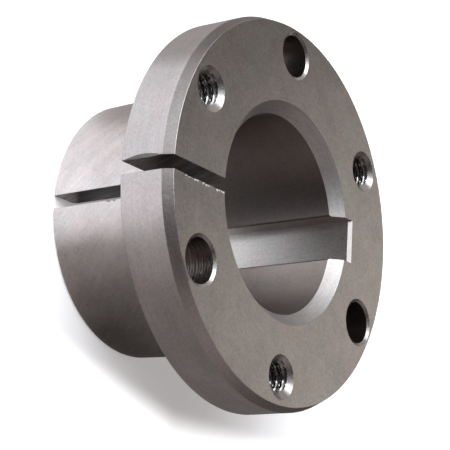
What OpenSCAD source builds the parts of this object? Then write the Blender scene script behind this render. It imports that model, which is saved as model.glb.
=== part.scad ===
// Split taper bushing with a bolt-on flange, for clamping a hub to a keyed shaft.
// It stands on the small end of its taper with the flange face up. The bore axis is Z,
// the keyway is on the +X side and the saw cut is on the -X side.

/* [Bore and keyway] */
// Diameter of the bore, 1 3/8 inch
bore_d = 34.925; // [20:0.005:60]
// Bevel at the front of the bore, measured across the face
bore_bevel_across = 2; // [0.5:0.1:3]
// Bevel at the front of the bore, measured down the bore
bore_bevel_down = 2.2; // [0.5:0.1:4]
// Edge break at the small end of the bore
bore_back_break = 0.6; // [0.2:0.1:1.2]
// Width of the keyway, 5/16 inch
key_w = 7.94; // [6:0.01:10]
// Depth of the keyway at its side walls, 5/32 inch
key_depth = 3.97; // [2:0.01:4.6]
// Edge break at the front of the keyway floor
key_break = 0.6; // [0.2:0.1:1]

/* [Barrel] */
// Wall between the bore and the large end of the taper, where the flange begins
barrel_wall = 6.24; // [5.2:0.01:12]
// Loss of diameter per millimetre of length, 3/4 inch per foot
taper_rate = 0.0625; // [0.02:0.0005:0.08]
// Length of the taper behind the flange
barrel_l = 23.3; // [15:0.05:30]
// Edge break round the small end
barrel_break = 0.3; // [0.1:0.05:0.8]
// Radius in the corner between the taper and the flange
root_r = 0.5; // [0.2:0.05:0.8]

/* [Flange] */
// Thickness of the flange
flange_t = 10.04; // [6:0.01:20]
// Metal between the large end of the taper and the clearance holes
hole_land = 1.1025; // [0.9:0.0025:4]
// Metal between the clearance holes and the rim
rim_land = 1.785; // [1.5:0.005:6]
// Bevel on the front rim, measured across the face
rim_bevel_across = 0.77; // [0.2:0.01:1.2]
// Bevel on the front rim, measured down the rim
rim_bevel_down = 1.8; // [0.4:0.05:3]
// Edge break on the back rim
rim_back_break = 0.25; // [0.1:0.05:0.8]

/* [Saw cut] */
// Width of the saw cut
cut_w = 2.3; // [1:0.05:4]
// How far the middle of the saw cut lies off the bore axis
cut_shift = -0.45; // [-1:0.05:1]

/* [Flange holes] */
// Number of clearance holes, and of tapped holes between them
hole_count = 3; // [2:1:4]
// Diameter of the clearance holes, 19/64 inch
clear_d = 7.54; // [6:0.01:8.4]
// Width of the countersink round each clearance hole
clear_sink_w = 0.55; // [0.2:0.05:1.2]
// Diameter inside the threads of the tapped holes, 1/4 inch with 20 threads per inch
tap_d = 5.2; // [4:0.05:6.4]
// Width of the countersink round each tapped hole
tap_sink_w = 1.25; // [0.4:0.05:2]
// Included angle of the countersinks
sink_angle = 118; // [82:1:120]
// Edge break where the holes come out of the back of the flange
hole_back_break = 0.25; // [0.1:0.05:0.4]

/* [Hidden] */
$fn = 144;

// From the bore outwards: taper 47.4 mm, bolt circle 57.15 mm (2 1/4 inch)
// and flange 68.26 mm (2 11/16 inch) across
bore_r = bore_d / 2;
barrel_r = bore_r + barrel_wall;
clear_r = clear_d / 2;
bolt_circle_r = barrel_r + hole_land + clear_r;
flange_r = bolt_circle_r + clear_r + rim_land;
overall_l = barrel_l + flange_t;
// Slope of the taper, as radius lost per millimetre, and the radius that is left at the small end
taper_slope = taper_rate / 2;
taper_angle = atan(taper_slope);
barrel_end_r = barrel_r - barrel_l * taper_slope;
function taper_r(z) = barrel_end_r + z * taper_slope;
// Centre of the corner radius under the flange
root_centre_z = barrel_l - root_r;
root_centre_r = taper_r(root_centre_z) + root_r / cos(taper_angle);
// The keyway depth is measured at its side walls, where they leave the round of the bore
key_floor_x = sqrt(pow(bore_r, 2) - pow(key_w / 2, 2)) + key_depth;
// The first clearance hole is on +Y and the first tapped hole half a step on from it
hole_step = 360 / hole_count;
first_clear = 90;
first_tapped = first_clear + hole_step / 2;
// How far each cutting shape runs past the faces that it cuts. It is less behind the flange,
// where the corner radius is close to the holes.
over = 1;
over_back = 0.2;
steel = [0.62, 0.6, 0.59];

// Half section of the turned body, with the bore on the left and the flange at the top.
// The circle rounds the corner under the flange, tangent to the taper and to the flange.
module turned_section() {
  difference() {
    polygon([
      [bore_r + bore_back_break, 0],
      [barrel_end_r - barrel_break, 0],
      [taper_r(barrel_break), barrel_break],
      [root_centre_r - root_r * cos(taper_angle), root_centre_z + root_r * sin(taper_angle)],
      [root_centre_r, root_centre_z],
      [root_centre_r, barrel_l],
      [flange_r - rim_back_break, barrel_l],
      [flange_r, barrel_l + rim_back_break],
      [flange_r, overall_l - rim_bevel_down],
      [flange_r - rim_bevel_across, overall_l],
      [bore_r + bore_bevel_across, overall_l],
      [bore_r, overall_l - bore_bevel_down],
      [bore_r, bore_back_break]
    ]);
    translate([root_centre_r, root_centre_z]) circle(r = root_r);
  }
}

// Straight keyway along the whole bore, with its floor edge broken at the face
module keyway() {
  translate([0, -key_w / 2, -over]) cube([key_floor_x, key_w, overall_l + 2 * over]);
  rotate([90, 0, 0])
    linear_extrude(key_w, center = true)
      polygon([
        [key_floor_x - over, overall_l - key_break - over],
        [key_floor_x + key_break + over, overall_l + over],
        [key_floor_x - over, overall_l + over]
      ]);
}

// Saw cut through one side of the flange and barrel, into the bore
module saw_cut() {
  translate([-flange_r - over, cut_shift - cut_w / 2, -over])
    cube([flange_r + over, cut_w, overall_l + 2 * over]);
}

// Hole through the flange with a countersink in the face and a broken edge at the back.
// The cutter keeps its slopes past both faces.
module flange_hole(hole_r, sink_w) {
  sink_slope = tan(sink_angle / 2);
  rotate_extrude()
    polygon([
      [0, barrel_l - over_back],
      [hole_r + hole_back_break + over_back, barrel_l - over_back],
      [hole_r, barrel_l + hole_back_break],
      [hole_r, overall_l - sink_w / sink_slope],
      [hole_r + sink_w + over * sink_slope, overall_l + over],
      [0, overall_l + over]
    ]);
}

// Ring of equal holes on the bolt circle
module hole_ring(first_angle, hole_r, sink_w) {
  for (i = [0 : hole_count - 1])
    rotate([0, 0, first_angle + i * hole_step])
      translate([bolt_circle_r, 0, 0])
        flange_hole(hole_r, sink_w);
}

module bushing() {
  color(steel)
    difference() {
      rotate_extrude() turned_section();
      keyway();
      saw_cut();
      hole_ring(first_clear, clear_r, clear_sink_w);
      hole_ring(first_tapped, tap_d / 2, tap_sink_w);
    }
}

bushing();
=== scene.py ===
import math
import random

import bmesh
import bpy
from mathutils import Matrix, Vector

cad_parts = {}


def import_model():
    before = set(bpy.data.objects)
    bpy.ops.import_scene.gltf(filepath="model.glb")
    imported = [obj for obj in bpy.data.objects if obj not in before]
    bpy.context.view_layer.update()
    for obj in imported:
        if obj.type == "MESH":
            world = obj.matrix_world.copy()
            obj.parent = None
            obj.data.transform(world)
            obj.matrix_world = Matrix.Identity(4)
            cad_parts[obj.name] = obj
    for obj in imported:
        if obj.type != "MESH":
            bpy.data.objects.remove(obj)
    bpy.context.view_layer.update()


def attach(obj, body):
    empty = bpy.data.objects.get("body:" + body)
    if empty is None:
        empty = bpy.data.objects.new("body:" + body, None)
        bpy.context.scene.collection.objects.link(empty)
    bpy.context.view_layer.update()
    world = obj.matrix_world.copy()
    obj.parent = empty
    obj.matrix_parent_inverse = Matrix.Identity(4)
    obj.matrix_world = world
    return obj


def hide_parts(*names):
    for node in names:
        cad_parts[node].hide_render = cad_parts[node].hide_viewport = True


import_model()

# Sizes in millimetres, the same as in the CAD source
MM = 0.001
BORE_R = 17.4625
BORE_BEVEL_ACROSS, BORE_BEVEL_DOWN = 2.0, 2.2
BORE_BACK_BREAK = 0.6
KEY_W, KEY_FLOOR_X, KEY_BREAK = 7.94, 20.975, 0.6
BARREL_R, BARREL_L, BARREL_BREAK = 23.7025, 23.3, 0.3
TAPER_SLOPE = 0.03125
ROOT_R = 0.5
FLANGE_R, OVERALL_L = 34.13, 33.34
RIM_BEVEL_ACROSS, RIM_BEVEL_DOWN, RIM_BACK_BREAK = 0.77, 1.8, 0.25
CUT_W, CUT_SHIFT = 2.3, -0.45
BOLT_CIRCLE_R = 28.575
CLEAR_R, CLEAR_SINK_W = 3.77, 0.55
TAP_R, TAP_SINK_W = 2.6, 1.25
SINK_ANGLE = 118
SINK_SLOPE = math.tan(math.radians(SINK_ANGLE / 2))
HOLE_BACK_BREAK = 0.25
CLEAR_ANGLES = (90, 210, 330)
TAP_ANGLES = (30, 150, 270)

# Detail that only the visual model has
TURNS = 384                 # steps round the turned body
EDGE_R = 0.09               # small round on every turned edge
EDGE_STEPS = 4
THREAD_PITCH, THREAD_MAJOR_R = 1.27, 3.175
THREAD_ROOT_FLAT, THREAD_FLANK_ANGLE = 0.159, 30
THREAD_STEPS, THREAD_ROWS = 64, 12      # steps round the hole, rows in each pitch
DRILL_PITCH, DRILL_STEPS, DRILL_ROWS = 0.56, 64, 6
DRILL_DEPTHS = {90: 0.003, 210: 0.035, 330: 0.010}   # depth of the drill's marks in each hole
DRILL_UNEVEN = (0.35, 1.0)  # share of that depth that a row gets
SINK_STEPS, SINK_START = 97, 0.013      # kept out of step with the walls of the holes
SINK_TIP = 0.35             # the countersink's cutter stops this far above the tip of its cone
SAW_END_X = -5.0            # the saw cut's box ends in the open bore

# Edges of the saw cut: the width of the plain broken edge, the filed stretch of the upper edge
# along the rim, and the torn stretches of the lower edge on the face and on the barrel
DEBURR, DEBURR_UNEVEN = 0.06, (0.7, 1.3)
FILED_DEEP, FILED_WIDE = 0.34, 0.62
FILED_FROM, FILED_TO = 23.8, 31.5
CHIP, CHIP_POWER, CHIP_STEP = 0.48, 1.2, 0.28
CHIPPED_FACE_X = (-30.5, -19.6)
CHIPPED_BARREL_Z = 12

KEY_EDGE = 0.24             # width of the broken edges along the keyway
PAST = 0.4                  # how far the cutting bars run past both surfaces, as a share of their widths
OVER = 1.0                  # how far the cutters run past the ends of the part
OVER_HOLE, OVER_BACK = 0.4, 0.2         # and past the back of the flange
BACK_LAP = 0.02             # how far the broken edge at the back reaches into the hole
SAME = 0.01                 # heights closer than this are the same face
JOIN, TINY = 1e-8, 1e-6     # points closer than these are one point, in metres and in millimetres
SHARP_ANGLE, FACE_WEIGHT = 20, 80       # edges over this angle stay sharp; pull of the wide faces
SEED = 7

# Regions of the surface, in the order of the material slots
REGIONS = ("faced", "bevelled", "rim", "back", "taper", "bore", "bore_bevel", "keyway", "keyway_side",
           "sawn", "drilled", "thread", "sink", "broken_edge", "burr")
REGION = {name: i for i, name in enumerate(REGIONS)}


# Meshes

def mesh_object(name, points, faces, regions=None):
    """A linked mesh object from points in millimetres."""
    mesh = bpy.data.meshes.new(name)
    mesh.from_pydata([tuple(c * MM for c in p) for p in points], [], faces)
    if regions is not None:
        mesh.polygons.foreach_set("material_index", regions)
    bm = bmesh.new()
    bm.from_mesh(mesh)
    bmesh.ops.remove_doubles(bm, verts=bm.verts, dist=JOIN)
    bmesh.ops.recalc_face_normals(bm, faces=bm.faces)
    bm.to_mesh(mesh)
    bm.free()
    mesh.update()
    piece = bpy.data.objects.new(name, mesh)
    bpy.context.scene.collection.objects.link(piece)
    return piece


def taper_r(z):
    """Radius of the taper at a height."""
    return BARREL_R - (BARREL_L - z) * TAPER_SLOPE


def turned_corners():
    """Corners of the half section: radius, height, radius of the round, region of the side that follows."""
    end_r = taper_r(0)
    return [
        (BORE_R + BORE_BACK_BREAK, 0, EDGE_R, "back"),
        (end_r - BARREL_BREAK, 0, EDGE_R, "broken_edge"),
        (taper_r(BARREL_BREAK), BARREL_BREAK, EDGE_R, "taper"),
        (BARREL_R, BARREL_L, ROOT_R, "back"),
        (FLANGE_R - RIM_BACK_BREAK, BARREL_L, EDGE_R, "broken_edge"),
        (FLANGE_R, BARREL_L + RIM_BACK_BREAK, EDGE_R, "rim"),
        (FLANGE_R, OVERALL_L - RIM_BEVEL_DOWN, EDGE_R, "bevelled"),
        (FLANGE_R - RIM_BEVEL_ACROSS, OVERALL_L, EDGE_R, "faced"),
        (BORE_R + BORE_BEVEL_ACROSS, OVERALL_L, EDGE_R, "bore_bevel"),
        (BORE_R, OVERALL_L - BORE_BEVEL_DOWN, EDGE_R, "bore"),
        (BORE_R, BORE_BACK_BREAK, EDGE_R, "broken_edge"),
    ]


def rounded_section(corners, steps):
    """The section with each corner rounded: a list of (radius, height, region of the side that follows)."""
    rows = []
    count = len(corners)
    for i, (r, z, round_r, region) in enumerate(corners):
        here = Vector((r, z))
        before = (Vector(corners[i - 1][:2]) - here).normalized()
        after = (Vector(corners[(i + 1) % count][:2]) - here).normalized()
        half = before.angle(after) / 2
        reach = round_r / math.tan(half)
        centre = here + (before + after).normalized() * (round_r / math.sin(half))
        start = here + before * reach - centre
        turn = math.pi - 2 * half
        if start.x * (here.y - centre.y) - start.y * (here.x - centre.x) < 0:
            turn = -turn
        for k in range(steps + 1):
            a = turn * k / steps
            p = centre + Vector((start.x * math.cos(a) - start.y * math.sin(a),
                                 start.x * math.sin(a) + start.y * math.cos(a)))
            rows.append((p.x, p.y, corners[i - 1][3] if k < steps / 2 else region))
    return rows


def turned_body():
    """The turned body before anything is cut from it."""
    rows = rounded_section(turned_corners(), EDGE_STEPS)
    points, faces, regions = [], [], []
    for j in range(TURNS):
        a = 2 * math.pi * j / TURNS
        points += [(r * math.cos(a), r * math.sin(a), z) for r, z, _ in rows]
    count = len(rows)
    for j in range(TURNS):
        for i in range(count):
            k, m = (i + 1) % count, (j + 1) % TURNS
            faces.append((j * count + i, m * count + i, m * count + k, j * count + k))
            regions.append(REGION[rows[i][2]])
    return mesh_object("bushing_body", points, faces, regions)


def box_cutter(low, high, region, far_region=None):
    """A box as points, faces and regions. Its face at the high end of X can have its own region."""
    x0, y0, z0 = low
    x1, y1, z1 = high
    points = [(x, y, z) for x in (x0, x1) for y in (y0, y1) for z in (z0, z1)]
    faces = [(0, 1, 3, 2), (4, 6, 7, 5), (0, 4, 5, 1), (2, 3, 7, 6), (0, 2, 6, 4), (1, 5, 7, 3)]
    regions = [REGION[region]] * len(faces)
    regions[1] = REGION[far_region or region]
    return points, faces, regions


def prism_cutter(outline, half_width, region):
    """A prism along Y from an outline of (x, z) points, as points, faces and regions."""
    n = len(outline)
    points = [(x, s * half_width, z) for s in (-1, 1) for x, z in outline]
    faces = [tuple(range(n)), tuple(range(2 * n - 1, n - 1, -1))]
    faces += [(i, (i + 1) % n, n + (i + 1) % n, n + i) for i in range(n)]
    return points, faces, [REGION[region]] * len(faces)


def key_edge_cutter(side):
    """An upright three-sided bar that breaks the edge between the bore and one side of the keyway."""
    corner = Vector((math.sqrt(BORE_R ** 2 - (KEY_W / 2) ** 2), side * KEY_W / 2))
    on_wall = corner + Vector((KEY_EDGE, 0))
    on_bore = corner + Vector((-corner.y * side, corner.x * side)).normalized() * KEY_EDGE
    past = (on_wall - on_bore) * PAST
    outline = [on_wall + past, on_bore - past, corner - Vector((KEY_EDGE, side * KEY_EDGE))]
    points = [(p.x, p.y, z) for z in (-OVER, OVERALL_L + OVER) for p in outline]
    faces = [(0, 1, 2), (3, 4, 5), (0, 1, 4, 3), (1, 2, 5, 4), (2, 0, 3, 5)]
    return points, faces, [REGION["keyway_side"]] * len(faces)


def sleeve(rows, steps, centre, region, start=0.0):
    """A closed round cutter: rows of (height, radius) as functions of the step, capped at both ends."""
    points, faces = [], []
    for row in rows:
        for i in range(steps):
            a = start + 2 * math.pi * i / steps
            z, r = row(i / steps)
            points.append((centre[0] + r * math.cos(a), centre[1] + r * math.sin(a), z))
    for j in range(len(rows) - 1):
        for i in range(steps):
            k = (i + 1) % steps
            faces.append((j * steps + i, j * steps + k, (j + 1) * steps + k, (j + 1) * steps + i))
    last = (len(rows) - 1) * steps
    faces += [tuple(range(steps - 1, -1, -1)), tuple(range(last, last + steps))]
    return points, faces, [REGION[region]] * len(faces)


def on_bolt_circle(angle):
    """Place of a hole, as (x, y)."""
    a = math.radians(angle)
    return BOLT_CIRCLE_R * math.cos(a), BOLT_CIRCLE_R * math.sin(a)


def thread_depth(turns):
    """Share of the thread's depth at a place along the thread, counted in turns."""
    place = (turns % 1.0) * THREAD_PITCH
    flank = (THREAD_MAJOR_R - TAP_R) * math.tan(math.radians(THREAD_FLANK_ANGLE))
    place = abs(place - THREAD_PITCH / 2)
    return min(1.0, max(0.0, 1 - (place - THREAD_ROOT_FLAT / 2) / flank))


def thread_cutter(angle):
    """Right-hand thread through the flange, as one displaced sleeve."""
    z0, z1 = BARREL_L - OVER_HOLE, OVERALL_L + OVER
    count = int((z1 - z0) / THREAD_PITCH * THREAD_ROWS)

    def row(j):
        z = z0 + (z1 - z0) * j / count
        return lambda t: (z, TAP_R + (THREAD_MAJOR_R - TAP_R) * thread_depth(z / THREAD_PITCH - t))

    return sleeve([row(j) for j in range(count + 1)], THREAD_STEPS, on_bolt_circle(angle), "thread")


def drill_cutter(angle):
    """Drilled hole with the fine helical marks that the drill leaves."""
    z0, z1 = BARREL_L - OVER_HOLE, OVERALL_L + OVER
    count = int((z1 - z0) / DRILL_PITCH * DRILL_ROWS)
    depth = DRILL_DEPTHS[angle]
    dice = random.Random(SEED + angle)
    uneven = [dice.uniform(*DRILL_UNEVEN) for _ in range(count + 1)]

    def row(j):
        z = z0 + (z1 - z0) * j / count
        reach = depth * uneven[j]
        return lambda t: (z, CLEAR_R - reach * (1 - math.cos(2 * math.pi * (z / DRILL_PITCH - t))) / 2)

    return sleeve([row(j) for j in range(count + 1)], DRILL_STEPS, on_bolt_circle(angle), "drilled")


def sink_cutter(angle, hole_r, sink_w):
    """Countersink in the face, as a cone that runs past it."""
    tip_z = OVERALL_L - (hole_r + sink_w) / SINK_SLOPE + SINK_TIP
    tip_r = (tip_z - OVERALL_L) * SINK_SLOPE + hole_r + sink_w
    rows = [lambda t: (tip_z, tip_r), lambda t: (OVERALL_L + OVER, hole_r + sink_w + OVER * SINK_SLOPE)]
    return sleeve(rows, SINK_STEPS, on_bolt_circle(angle), "sink", SINK_START)


def back_cutter(angle, hole_r):
    """Broken edge where a hole comes out of the back of the flange."""
    rows = [lambda t: (BARREL_L - OVER_BACK, hole_r + HOLE_BACK_BREAK + OVER_BACK),
            lambda t: (BARREL_L + HOLE_BACK_BREAK + BACK_LAP, hole_r - BACK_LAP)]
    return sleeve(rows, SINK_STEPS, on_bolt_circle(angle), "broken_edge", SINK_START)


def edge_loop_cutter(path, widths, inward, region):
    """A thin three-sided bar round a closed path in a plane of constant y. Cut from the body, it breaks
    the sharp edge along the path. At each point, the first of its widths lies in that plane, square to
    the path, and the second along Y. inward is the side, along Y, where the saw cut is."""
    n = len(path)
    points, faces, regions = [], [], []
    for i in range(n):
        here = path[i]
        before = (here - path[i - 1]).normalized()
        after = (path[(i + 1) % n] - here).normalized()
        normal = Vector((-before.z - after.z, 0, before.x + after.x)).normalized()
        miter = 1 / max(0.5, normal.dot(Vector((-after.z, 0, after.x))))
        aside = Vector((0, inward, 0))
        down, along = normal * miter * widths[i][0], aside * widths[i][1]
        points += [tuple(here - down * (1 + PAST) + along * PAST),
                   tuple(here + down * PAST - along * (1 + PAST)),
                   tuple(here + down + along)]
    for i in range(n):
        m = (i + 1) % n
        for k in range(3):
            q = (k + 1) % 3
            faces += [(i * 3 + k, i * 3 + q, m * 3 + q), (i * 3 + k, m * 3 + q, m * 3 + k)]
            regions += [REGION["broken_edge" if widths[i][0] != widths[i][1] else region]] * 2
    return points, faces, regions


def section_path(y):
    """The outline of the turned section in the plane y, on the side of -X, in short steps.
    Outer corners are sharp, and the corner under the flange follows its round."""
    corners = [(r, z, ROOT_R if round_r == ROOT_R else 0.0, region)
               for r, z, round_r, region in turned_corners()]
    outline = [Vector((-math.sqrt(r * r - y * y), y, z)) for r, z, _ in rounded_section(corners, EDGE_STEPS)]
    path = []
    for i, here in enumerate(outline):
        there = outline[(i + 1) % len(outline)]
        if (there - here).length > TINY:
            count = max(1, round((there - here).length / CHIP_STEP))
            path += [here.lerp(there, k / count) for k in range(count)]
    return path


def saw_edge_widths(path, upper):
    """How deep and how wide the saw cut's edge is broken: filed along the rim above, torn in places below."""
    dice = random.Random(SEED + upper)
    widths = []
    for x, y, z in path:
        width = DEBURR * dice.uniform(*DEBURR_UNEVEN)
        on_face = z > OVERALL_L - SAME and CHIPPED_FACE_X[0] < x < CHIPPED_FACE_X[1]
        on_barrel = CHIPPED_BARREL_Z < z < BARREL_L and x < -BORE_R - OVER
        if not upper and (on_face or on_barrel):
            width += CHIP * dice.random() ** CHIP_POWER
        deep = wide = width
        if upper and x < -BARREL_R - OVER and FILED_FROM < z < FILED_TO:
            share = math.sin(math.pi * (z - FILED_FROM) / (FILED_TO - FILED_FROM))
            deep, wide = max(deep, FILED_DEEP * share), max(wide, FILED_WIDE * share)
        widths.append((deep, wide))
    return widths


def joined(name, parts):
    """One object from several cutters."""
    points, faces, regions = [], [], []
    for more_points, more_faces, more_regions in parts:
        start = len(points)
        points += more_points
        faces += [tuple(start + i for i in face) for face in more_faces]
        regions += more_regions
    return mesh_object(name, points, faces, regions)


def cut(body, name, parts):
    """Cuts the parts from the body, and keeps each cut face's own region."""
    cutter = joined(name, parts)
    change = body.modifiers.new(name, "BOOLEAN")
    change.operation, change.solver, change.object = "DIFFERENCE", "EXACT", cutter
    change.use_self = False
    change.material_mode = "INDEX"
    done = bpy.data.meshes.new_from_object(body.evaluated_get(bpy.context.evaluated_depsgraph_get()))
    body.modifiers.clear()
    body.data = done
    bpy.data.objects.remove(cutter)


def smooth_by_angle(piece):
    """Smooth shading that stays sharp at real edges and follows the wide faces."""
    for face in piece.data.polygons:
        face.use_smooth = True
    piece.data.set_sharp_from_angle(angle=math.radians(SHARP_ANGLE))
    weighted = piece.modifiers.new("weighted", "WEIGHTED_NORMAL")
    weighted.keep_sharp = True
    weighted.weight = FACE_WEIGHT
    done = bpy.data.meshes.new_from_object(piece.evaluated_get(bpy.context.evaluated_depsgraph_get()))
    piece.modifiers.clear()
    piece.data = done


def bushing():
    """The whole part: the turned body with everything cut from it."""
    body = turned_body()
    cut_y0, cut_y1 = CUT_SHIFT - CUT_W / 2, CUT_SHIFT + CUT_W / 2
    top = OVERALL_L + OVER
    key_break = [(KEY_FLOOR_X - OVER, OVERALL_L - KEY_BREAK - OVER),
                 (KEY_FLOOR_X + KEY_BREAK + OVER, top), (KEY_FLOOR_X - OVER, top)]
    cut(body, "key_and_saw", [
        box_cutter((0, -KEY_W / 2, -OVER), (KEY_FLOOR_X, KEY_W / 2, top), "keyway_side", "keyway"),
        box_cutter((-FLANGE_R - OVER, cut_y0, -OVER), (SAW_END_X, cut_y1, top), "sawn")])
    cut(body, "key_break", [prism_cutter(key_break, KEY_W / 2, "broken_edge")])
    cut(body, "key_edges", [key_edge_cutter(side) for side in (-1, 1)])
    cut(body, "holes", [drill_cutter(a) for a in CLEAR_ANGLES] + [thread_cutter(a) for a in TAP_ANGLES])
    cut(body, "sinks", [sink_cutter(a, CLEAR_R, CLEAR_SINK_W) for a in CLEAR_ANGLES]
        + [sink_cutter(a, TAP_R, TAP_SINK_W) for a in TAP_ANGLES]
        + [back_cutter(a, CLEAR_R) for a in CLEAR_ANGLES] + [back_cutter(a, TAP_R) for a in TAP_ANGLES])
    edges = []
    for y, inward, upper in ((cut_y0, 1, False), (cut_y1, -1, True)):
        path = section_path(y)
        edges.append(edge_loop_cutter(path, saw_edge_widths(path, upper), inward, "burr"))
    cut(body, "saw_edges", edges)
    smooth_by_angle(body)
    return body


# Materials

BASE = (0.50, 0.48, 0.465)  # base colour of the part's steel, of which each finish takes a share
# BORE_WARM tints the bore, the keyway's sides, the saw cut and the drilled holes, whose darker tone is painted
# shade; BEVEL_WARM tints the bevel
BORE_WARM, BEVEL_WARM = (1.07, 0.985, 0.94), (1.02, 0.995, 0.985)
WARM, COOL = (1.028, 0.988, 0.985), (0.98, 1.010, 1.005)    # every finish passes between them

# Noises: scale per millimetre, detail, roughness
CLOUDS = (0.16, 5.0, 0.72)
SPECKS = (2.3, 3.0, 0.8)
TINTS = (0.22, 3.0, 0.6)
DOTS = (3.0, 2.0, 0.7)
SOFT_DOTS = (2.0, 2.0)
FAINT_SPECKS = (1.4, 2.0, 0.5)
# The same on coordinates that are already scaled
FINE, ROUGH_FINE, BROAD = (1.0, 3.0), (1.0, 3.0, 0.7), (1.0, 2.0)

# Stretches of the noises that are used, and how far they move the roughness
TINT_RANGE, TONE_RANGE, ROUGH_RANGE = (0.35, 0.65), (0.3, 0.7), (0.25, 0.75)
ROUGH_STRAY = 0.06

HIGHLIGHT_TURN = 0.25       # a quarter turn of the stretched highlights, from the tangent
BROAD_ACROSS, BROAD_ALONG = 0.3, 0.4    # scale of the broad turning marks beside the fine ones
DRILL_ACROSS, DRILL_ALONG = 0.15, 4.5
# Over this stretch of X the drill's lines grow from this strength to full
ROUGH_HOLE_X, OTHER_HOLES = (-12, -18), 0.12
# Slants of the marks, and the scales of the fine and the broad ones across and along them
SAW_COS, SAW_SIN = 0.917, 0.40
SAW_FINE, SAW_BROAD = (2.6, 0.16), (0.7, 0.06)
GRIND_SLANT = 0.9
GRIND_FINE, GRIND_BROAD = (1.6, 0.16), (0.35, 0.08)


class Nodes:
    """Short calls for building one material's nodes."""

    def __init__(self, name):
        self.material = bpy.data.materials.new(name)
        self.material.use_nodes = True
        self.tree = self.material.node_tree
        self.shader = self.tree.nodes["Principled BSDF"]

    def add(self, kind, values=None, **settings):
        node = self.tree.nodes.new(kind)
        for key, value in settings.items():
            setattr(node, key, value)
        for key, value in (values or {}).items():
            self.put(node, key, value)
        return node

    def put(self, node, key, value):
        socket = node.inputs[key]
        if isinstance(value, bpy.types.NodeSocket):
            self.tree.links.new(value, socket)
        elif isinstance(value, bpy.types.Node):
            self.tree.links.new(value.outputs[0], socket)
        else:
            socket.default_value = value

    def math(self, operation, *values):
        return self.add("ShaderNodeMath", dict(enumerate(values)), operation=operation)

    def blend(self, *parts):
        """Sum of (value, share) pairs."""
        total = None
        for value, share in parts:
            part = self.math("MULTIPLY", value, share)
            total = part if total is None else self.math("ADD", total, part)
        return total

    def fit(self, value, low, high, to_low=0.0, to_high=1.0):
        return self.add("ShaderNodeMapRange", {"Value": value, "From Min": low, "From Max": high,
                                               "To Min": to_low, "To Max": to_high})

    def mix(self, factor, a, b):
        node = self.add("ShaderNodeMix", data_type="RGBA")
        for key, value in ((0, factor), (6, a), (7, b)):
            self.put(node, key, value)
        return node.outputs[2]

    def noise(self, vector, scale, detail=3.0, roughness=0.6):
        return self.add("ShaderNodeTexNoise", {"Vector": vector, "Scale": scale, "Detail": detail,
                                               "Roughness": roughness}).outputs["Fac"]

    def vector(self, x, y, z):
        return self.add("ShaderNodeCombineXYZ", {0: x, 1: y, 2: z})

    def stretched(self, first, across, second, along, offset):
        """Coordinates with a scale of their own in two directions. The offset keeps two noises apart."""
        return self.vector(self.math("MULTIPLY", first, across), self.math("MULTIPLY", second, along), offset)


def coordinates(n):
    """Object coordinates in millimetres: the point, radius from the bore axis, turn in radians, x, y, z."""
    point = n.add("ShaderNodeTexCoord").outputs["Object"]
    point = n.add("ShaderNodeVectorMath", {0: point, "Scale": 1 / MM}, operation="SCALE").outputs[0]
    axes = n.add("ShaderNodeSeparateXYZ", {0: point})
    x, y, z = axes.outputs[0], axes.outputs[1], axes.outputs[2]
    radius = n.math("SQRT", n.math("ADD", n.math("MULTIPLY", x, x), n.math("MULTIPLY", y, y)))
    turn = n.math("ARCTAN2", y, x)
    return point, radius, turn, x, y, z


def steel(name, color, rough, marks, depth, aniso=0.0, blotch=0.30, grain=0.5, lines=0.3):
    """Machined steel. marks(n, *coordinates) gives the tool marks as a height, and depth is theirs in
    millimetres. blotch is how far the tone strays; grain and lines are the shares of specks and marks in it."""
    n = Nodes(name)
    place = coordinates(n)
    point = place[0]
    height = marks(n, *place)
    cloud, specks, tint = n.noise(point, *CLOUDS), n.noise(point, *SPECKS), n.noise(point, *TINTS)
    tone = n.blend((cloud, 1 - grain - lines), (specks, grain), (height, lines))
    warm = tuple(c * t for c, t in zip(color, WARM)) + (1,)
    cool = tuple(c * t for c, t in zip(color, COOL)) + (1,)
    plain = n.mix(n.fit(tint, *TINT_RANGE), warm, cool)
    shade = n.fit(tone, *TONE_RANGE, 1 - blotch, 1 + blotch)
    n.put(n.shader, "Base Color", n.add("ShaderNodeVectorMath", {0: plain, "Scale": shade}, operation="SCALE"))
    uneven = n.blend((specks, 0.6), (height, 0.4))
    n.put(n.shader, "Roughness", n.fit(uneven, *ROUGH_RANGE, rough - ROUGH_STRAY, rough + ROUGH_STRAY))
    n.put(n.shader, "Metallic", 1.0)
    n.put(n.shader, "Anisotropic", aniso)
    if aniso:
        n.put(n.shader, "Anisotropic Rotation", HIGHLIGHT_TURN)
        n.put(n.shader, "Tangent", n.add("ShaderNodeTangent", direction_type="RADIAL", axis="Z"))
    bump = n.add("ShaderNodeBump", {"Height": height, "Strength": 1.0, "Distance": depth * MM})
    n.put(n.shader, "Normal", bump)
    return n.material


def turning_marks(across, along, specks=0.4):
    """Marks that run round the axis, in two widths, with specks between them."""
    def marks(n, point, radius, turn, x, y, z):
        run = n.math("ADD", radius, z)
        fine = n.noise(n.stretched(run, across, turn, along, 0.0), *FINE)
        broad = n.noise(n.stretched(run, across * BROAD_ACROSS, turn, along * BROAD_ALONG, 7.0), *BROAD)
        lines = n.blend((fine, 0.6), (broad, 0.4))
        return n.blend((lines, 1 - specks), (n.noise(point, *DOTS), specks))

    return marks


def soft_marks(n, point, radius, turn, x, y, z):
    """Faint specks alone."""
    return n.noise(point, *FAINT_SPECKS)


def drill_marks(n, point, radius, turn, x, y, z):
    """Uneven lines round the hole beside the saw cut's lower side, and faint ones in the others."""
    height = n.math("MULTIPLY", z, DRILL_ALONG)
    lines = n.noise(n.stretched(x, DRILL_ACROSS, y, DRILL_ACROSS, height), *ROUGH_FINE)
    strength = n.fit(x, *ROUGH_HOLE_X, OTHER_HOLES, 1.0)
    return n.math("MULTIPLY_ADD", n.math("SUBTRACT", lines, 0.5), strength, 0.5)


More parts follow.
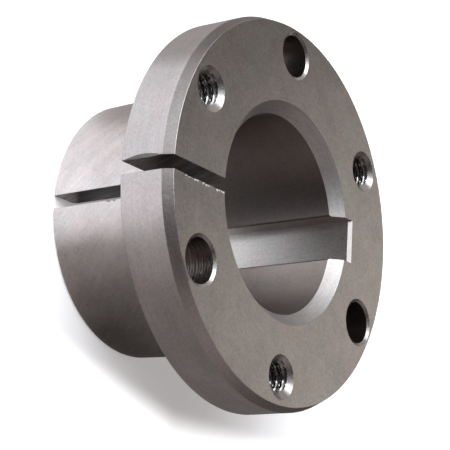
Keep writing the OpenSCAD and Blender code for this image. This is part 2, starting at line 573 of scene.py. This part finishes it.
def straight_marks(across, along):
    """Marks that run along the bore."""
    def marks(n, point, radius, turn, x, y, z):
        lines = n.noise(n.stretched(x, across, y, across, n.math("MULTIPLY", z, along)), *FINE)
        return n.blend((lines, 0.7), (n.noise(point, *SOFT_DOTS), 0.3))

    return marks


def saw_marks(n, point, radius, turn, x, y, z):
    """Slanting marks of the saw, on the walls of the cut."""
    lean = n.blend((x, SAW_COS), (z, SAW_SIN))
    run = n.math("SUBTRACT", n.math("MULTIPLY", z, SAW_COS), n.math("MULTIPLY", x, SAW_SIN))
    fine = n.noise(n.stretched(lean, SAW_FINE[0], run, SAW_FINE[1], 0.0), *FINE)
    broad = n.noise(n.stretched(lean, SAW_BROAD[0], run, SAW_BROAD[1], 5.0), *BROAD)
    return n.blend((fine, 0.6), (broad, 0.4))


def cloth_marks(n, point, radius, turn, x, y, z):
    """Soft slanting streaks left by grinding, over fine scratches."""
    arc = n.math("MULTIPLY", turn, BARREL_R)
    lean = n.math("ADD", arc, n.math("MULTIPLY", z, GRIND_SLANT))
    run = n.math("SUBTRACT", z, n.math("MULTIPLY", arc, GRIND_SLANT))
    fine = n.noise(n.stretched(lean, GRIND_FINE[0], run, GRIND_FINE[1], 0.0), *FINE)
    broad = n.noise(n.stretched(lean, GRIND_BROAD[0], run, GRIND_BROAD[1], 3.0), *BROAD)
    lines = n.blend((fine, 0.5), (broad, 0.5))
    return n.blend((lines, 0.7), (n.noise(point, *DOTS), 0.3))


def tinted(share, tint=(1, 1, 1)):
    """A share of the steel's base colour, with a tint."""
    return tuple(c * share * t for c, t in zip(BASE, tint))


def bushing_materials():
    """One finish for each region of the surface, in the order of the material slots. The finishes inside the
    bore, keyway, saw cut and holes carry painted shade.
    """
    faced = turning_marks(2.4, 9.0, specks=0.6)
    turned = turning_marks(2.6, 4.0)
    broached = straight_marks(4.0, 0.2)
    made = {
        "faced": steel("faced_steel", tinted(0.945), 0.32, faced, 0.012, blotch=0.42, grain=0.45, lines=0.25),
        "bevelled": steel("bevelled_steel", tinted(0.66, BEVEL_WARM), 0.36, turned, 0.010, lines=0.4),
        "rim": steel("rim_steel", tinted(1.12), 0.34, turned, 0.010,
                     aniso=0.5, blotch=0.36, grain=0.35, lines=0.4),
        "back": steel("back_steel", tinted(0.95), 0.40, turned, 0.010),
        "taper": steel("ground_steel", tinted(1.16), 0.30, cloth_marks, 0.010,
                       aniso=0.4, blotch=0.36, grain=0.3, lines=0.45),
        # The bore, the keyway's sides, the saw cut, the drilled holes and the threads take a smaller share of
        # the steel's colour than the outside: painted shade in these hollows. The keyway's sides are a darker
        # copy of its floor.
        "bore": steel("bored_steel_painted_shade", tinted(0.42, BORE_WARM), 0.58, turned, 0.010, aniso=0.92),
        "bore_bevel": steel("bore_bevel_steel", tinted(0.72), 0.56, turned, 0.016,
                            aniso=0.3, blotch=0.4, grain=0.3, lines=0.6),
        "keyway": steel("broached_steel", tinted(1.5), 0.33, broached, 0.006),
        "keyway_side": steel("broached_side_steel_painted_shade", tinted(0.72, BORE_WARM), 0.34, broached, 0.006),
        "sawn": steel("sawn_steel_painted_shade", tinted(0.38, BORE_WARM), 0.42, saw_marks, 0.030,
                      blotch=1.3, grain=0.1, lines=0.8),
        "drilled": steel("drilled_steel_painted_shade", tinted(0.34, BORE_WARM), 0.30, drill_marks, 0.080,
                         blotch=1.0, grain=0.1, lines=0.8),
        "thread": steel("thread_steel_painted_shade", tinted(0.62), 0.24, soft_marks, 0.002),
        "sink": steel("sink_steel", tinted(0.95), 0.27, soft_marks, 0.002, blotch=0.12),
        "broken_edge": steel("edge_steel", tinted(0.58), 0.52, turned, 0.006),
        "burr": steel("burr_steel", tinted(0.92), 0.62, soft_marks, 0.010),
    }
    return [made[name] for name in REGIONS]


# Stage

FLOOR_R, FLOOR_STEPS = 1.6, 96
FLOOR_TONE, FLOOR_ROUGH, FLOOR_SPECULAR = (0.9, 0.9, 0.9), 0.9, 0.1
FLOOR_GLOW = 0.24           # share of the background's white that the floor gives by itself
# On the side of -Y it rises to full white, which also fades the outer part of the shadow there: over
# this stretch of Y, in metres, and over the same stretch of a slanting line on the side of -X
GLOW_RISE, GLOW_SLANT, GLOW_SHIFT = (-0.0257, -0.0322), 0.25, 0.0040

# The studio's walls: a dark tone all round, and soft light parts on them, each with its azimuth,
# elevation, reach in degrees and colour
WALL_TONE = (0.056, 0.048, 0.046)
WALL_LIGHTS = (
    (130, 30, 62, (1.10, 1.12, 1.18)),
    (278, 10, 66, (0.56, 0.49, 0.48)),
    (60, 12, 34, (0.50, 0.46, 0.44)),
)

# The card on the floor that the metal mirrors, in millimetres: it glows and is a painted reflection,
# bright towards the key lamp and a painted shade on the side away from it. Its tone: azimuth, tone
# close to the object, tone further out. Further out still it fades.
CARD_INNER_R, CARD_OUTER_R, CARD_Z, CARD_STEPS = 23.1, 1500, 0.2, 180
CARD_NEAR_R, CARD_FAR_R = 28, 62
CARD_FADE_R, CARD_END_R, CARD_END_SHARE = 110, 260, 0.10
PAINTED_REFLECTION_TONES = (
    (0, 0.02, 0.03), (50, 0.04, 0.12), (70, 0.12, 0.30), (90, 0.28, 0.42), (112, 0.40, 0.44),
    (122, 0.50, 1.05), (136, 1.05, 1.08), (170, 1.42, 1.08), (189, 1.20, 1.04), (203, 0.38, 0.44),
    (226, 0.14, 0.23), (250, 0.045, 0.20), (290, 0.040, 0.18), (315, 0.04, 0.15), (360, 0.02, 0.03),
)
CARD_WARM, CARD_COOL = (1.14, 1.0, 0.97), (0.99, 0.975, 1.045)    # tints of its dark and light parts

# The card under the bore, which glows as a painted reflection, with a light stripe, a painted
# highlight, that runs from below the keyway's floor towards an azimuth: its tones at its two ends, the
# ends, and the half widths at which it is gone and full
BORE_CARD_INNER_R, BORE_CARD_R, BORE_CARD_TONE, BORE_CARD_BLUE = 0.1, 17.0, 0.05, 1.06
STRIPE_AZIMUTH = 162
STRIPE_TONES, STRIPE_ENDS, STRIPE_HALF = (1.05, 0.58), (4, 27), (6.0, 4.0)
# A fainter spot on it, a painted highlight which the saw cut mirrors: its middle, the radii of its full and its
# faded part
SPOT_X, SPOT_Y, SPOT_EDGE, SPOT_TONE = -8, -4, (3, 9), 0.30

# Soft suns: name, azimuth, elevation, width in degrees, strength, colour
LAMPS = (
    ("key", 147, 43, 44, 2.9, (0.92, 0.94, 1.0)),
    ("side", 112, 30, 36, 0.7, (0.95, 0.96, 1.0)),
    ("fill", 9, 24, 28, 0.150, (1.0, 0.93, 0.86)),
    ("top", 92, 54, 30, 0.62, (0.96, 0.98, 1.0)),
)

# Camera of the photograph, solved from its outlines, in millimetres
CAMERA_AT = (-222.85, -74.28, 176.79)
CAMERA_RIGHT = (0.5622, 0.0543, 0.8252)
CAMERA_UP = (-0.245, 0.964, 0.1034)
CAMERA_LENS, SENSOR_W = 128.41, 36
CLIP_START, CLIP_END = 0.01, 20


def toward(azimuth, elevation):
    """Unit vector from the object to a place in the row frame, azimuth counted from +X."""
    a, e = math.radians(azimuth), math.radians(elevation)
    return Vector((math.cos(a) * math.cos(e), math.sin(a) * math.cos(e), math.sin(e)))


def floor_material():
    """Pale, with a glow that only camera, mirror and glass rays see, and clear from below."""
    n = Nodes("pale_floor")
    for key, value in (("Base Color", (*FLOOR_TONE, 1)), ("Roughness", FLOOR_ROUGH),
                       ("Specular IOR Level", FLOOR_SPECULAR), ("Emission Color", (1, 1, 1, 1))):
        n.put(n.shader, key, value)
    rays = n.add("ShaderNodeLightPath")
    seen = rays.outputs["Is Camera Ray"]
    for kind in ("Is Glossy Ray", "Is Transmission Ray"):
        seen = n.math("MAXIMUM", seen, rays.outputs[kind])
    place = n.add("ShaderNodeSeparateXYZ", {0: n.add("ShaderNodeTexCoord").outputs["Object"]})
    x, y = place.outputs["X"], place.outputs["Y"]
    nearest = n.math("MINIMUM", n.math("ADD", y, GLOW_SHIFT), n.math("MULTIPLY_ADD", x, GLOW_SLANT, y))
    rise = n.fit(nearest, *GLOW_RISE, FLOOR_GLOW, 1.0)
    rise.interpolation_type = "SMOOTHSTEP"
    n.put(n.shader, "Emission Strength", n.math("MULTIPLY", seen, rise))
    below = n.add("ShaderNodeNewGeometry").outputs["Backfacing"]
    mix = n.add("ShaderNodeMixShader", {0: below, 1: n.shader, 2: n.add("ShaderNodeBsdfTransparent")})
    n.put(n.tree.nodes["Material Output"], "Surface", mix)
    return n.material


def floor():
    """A pale round floor that is seen only from above."""
    mesh = bpy.data.meshes.new("floor")
    bm = bmesh.new()
    bmesh.ops.create_circle(bm, cap_ends=True, segments=FLOOR_STEPS, radius=FLOOR_R)
    bm.to_mesh(mesh)
    bm.free()
    piece = bpy.data.objects.new("floor", mesh)
    bpy.context.scene.collection.objects.link(piece)
    mesh.materials.append(floor_material())


def world():
    """Walls that pass smoothly from dark to light round the object."""
    sky = bpy.data.worlds.new("studio")
    sky.use_nodes = True
    tree = sky.node_tree
    direction = tree.nodes.new("ShaderNodeTexCoord").outputs["Generated"]
    total = None
    for azimuth, elevation, reach, color in WALL_LIGHTS:
        dot = tree.nodes.new("ShaderNodeVectorMath")
        dot.operation = "DOT_PRODUCT"
        dot.inputs[1].default_value = toward(azimuth, elevation)
        fall = tree.nodes.new("ShaderNodeMapRange")
        fall.interpolation_type = "SMOOTHSTEP"
        fall.inputs["From Min"].default_value = math.cos(math.radians(reach))
        part = tree.nodes.new("ShaderNodeVectorMath")
        part.operation = "MULTIPLY_ADD"
        part.inputs[0].default_value = color
        part.inputs[2].default_value = WALL_TONE
        tree.links.new(direction, dot.inputs[0])
        tree.links.new(dot.outputs["Value"], fall.inputs["Value"])
        tree.links.new(fall.outputs[0], part.inputs[1])
        if total is not None:
            tree.links.new(total, part.inputs[2])
        total = part.outputs[0]
    tree.links.new(total, tree.nodes["Background"].inputs["Color"])
    bpy.context.scene.world = sky


def card_ramp(n, turn, column):
    """Tone of the card at one distance, passing evenly from each azimuth to the next."""
    ramp = n.add("ShaderNodeValToRGB", {"Fac": turn})
    stops = ramp.color_ramp.elements
    while len(stops) < len(PAINTED_REFLECTION_TONES):
        stops.new(0.5)
    top = max(row[column] for row in PAINTED_REFLECTION_TONES)
    for stop, row in zip(stops, PAINTED_REFLECTION_TONES):
        share = row[column] / top
        stop.position = row[0] / 360
        stop.color = [row[column] * (w + (c - w) * share) for w, c in zip(CARD_WARM, CARD_COOL)] + [1]
    return ramp.outputs["Color"]


def painted_reflection_sheet(name, inner, outer, tone):
    """A flat card on the floor that glows and is seen only in the metal: a painted reflection. tone(n) gives
    its colour.
    """
    steps, points = CARD_STEPS, []
    for k in range(steps):
        a = 2 * math.pi * k / steps
        points += [(r * math.cos(a) * MM, r * math.sin(a) * MM, CARD_Z * MM) for r in (inner, outer)]
    ends = [(2 * k, 2 * ((k + 1) % steps)) for k in range(steps)]
    faces = [(this, this + 1, following + 1, following) for this, following in ends]
    mesh = bpy.data.meshes.new(name)
    mesh.from_pydata(points, [], faces)
    card = bpy.data.objects.new(name, mesh)
    bpy.context.scene.collection.objects.link(card)
    n = Nodes(name)
    n.put(n.shader, "Base Color", (0, 0, 0, 1))
    n.put(n.shader, "Specular IOR Level", 0.0)
    n.put(n.shader, "Emission Color", tone(n))
    n.put(n.shader, "Emission Strength", 1.0)
    mesh.materials.append(n.material)
    card.visible_camera = card.visible_diffuse = card.visible_shadow = False


def painted_floor_reflection_tone(n):
    """Painted reflection: bright towards the key lamp, and painted shade on the other side and far away."""
    _, radius, turn, *_ = coordinates(n)
    turn = n.fit(n.math("WRAP", turn, 2 * math.pi, 0.0), 0, 2 * math.pi)
    far = n.fit(radius, CARD_NEAR_R, CARD_FAR_R)
    tone = n.mix(far, card_ramp(n, turn, 1), card_ramp(n, turn, 2))
    fade = n.fit(radius, CARD_FADE_R, CARD_END_R, 1.0, CARD_END_SHARE)
    return n.add("ShaderNodeVectorMath", {0: tone, "Scale": fade}, operation="SCALE").outputs[0]


def painted_bore_reflection_tone(n):
    """Painted reflection under the bore: dark, with a light stripe, a painted highlight, that starts below the
    keyway and fades across the bore.
    """
    *_, x, y, _ = coordinates(n)
    way = toward(STRIPE_AZIMUTH, 0)
    x = n.math("SUBTRACT", x, KEY_FLOOR_X)
    along = n.math("ADD", n.math("MULTIPLY", x, way.x), n.math("MULTIPLY", y, way.y))
    across = n.math("SUBTRACT", n.math("MULTIPLY", y, way.x), n.math("MULTIPLY", x, way.y))
    width = n.fit(n.math("ABSOLUTE", across), *STRIPE_HALF)
    stripe = n.math("MULTIPLY", n.fit(along, *STRIPE_ENDS, *STRIPE_TONES), width)
    from_spot = (n.math("SUBTRACT", x, SPOT_X - KEY_FLOOR_X), n.math("SUBTRACT", y, SPOT_Y))
    square = n.math("ADD", *[n.math("POWER", part, 2.0) for part in from_spot])
    spot = n.fit(n.math("SQRT", square), *SPOT_EDGE, SPOT_TONE, BORE_CARD_TONE)
    tone = n.math("ADD", stripe, spot)
    return n.vector(tone, tone, n.math("MULTIPLY", tone, BORE_CARD_BLUE)).outputs[0]


def soft_sun(name, azimuth, elevation, width, strength, color):
    """A sun lamp wide enough to give soft shadows."""
    data = bpy.data.lights.new(name, "SUN")
    data.angle, data.energy, data.color = math.radians(width), strength, color
    lamp = bpy.data.objects.new(name, data)
    bpy.context.scene.collection.objects.link(lamp)
    lamp.rotation_mode = "QUATERNION"
    lamp.rotation_quaternion = toward(azimuth, elevation).to_track_quat("Z", "Y")


def camera():
    """The photograph's camera, at its angle and with its roll."""
    data = bpy.data.cameras.new("camera")
    data.lens, data.sensor_width = CAMERA_LENS, SENSOR_W
    data.clip_start, data.clip_end = CLIP_START, CLIP_END
    eye = bpy.data.objects.new("camera", data)
    bpy.context.scene.collection.objects.link(eye)
    right = Vector(CAMERA_RIGHT).normalized()
    up = Vector(CAMERA_UP)
    up = (up - right * up.dot(right)).normalized()
    turn = Matrix((right, up, right.cross(up))).transposed().to_4x4()
    eye.matrix_world = Matrix.Translation(Vector(CAMERA_AT) * MM) @ turn
    bpy.context.scene.camera = eye


camera()
floor()
world()
# The metal mirrors these two glowing cards, painted reflections with painted shade, in place of the floor and
# of the bore's far end.
painted_reflection_sheet("painted_floor_reflection", CARD_INNER_R, CARD_OUTER_R, painted_floor_reflection_tone)
painted_reflection_sheet("painted_bore_reflection", BORE_CARD_INNER_R, BORE_CARD_R, painted_bore_reflection_tone)
for lamp in LAMPS:
    soft_sun(*lamp)

part = bushing()
part.name = part.data.name = "bushing_steel"
for material in bushing_materials():
    part.data.materials.append(material)
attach(part, "root")
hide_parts("bushing")

bpy.context.scene.view_settings.view_transform = "Standard"
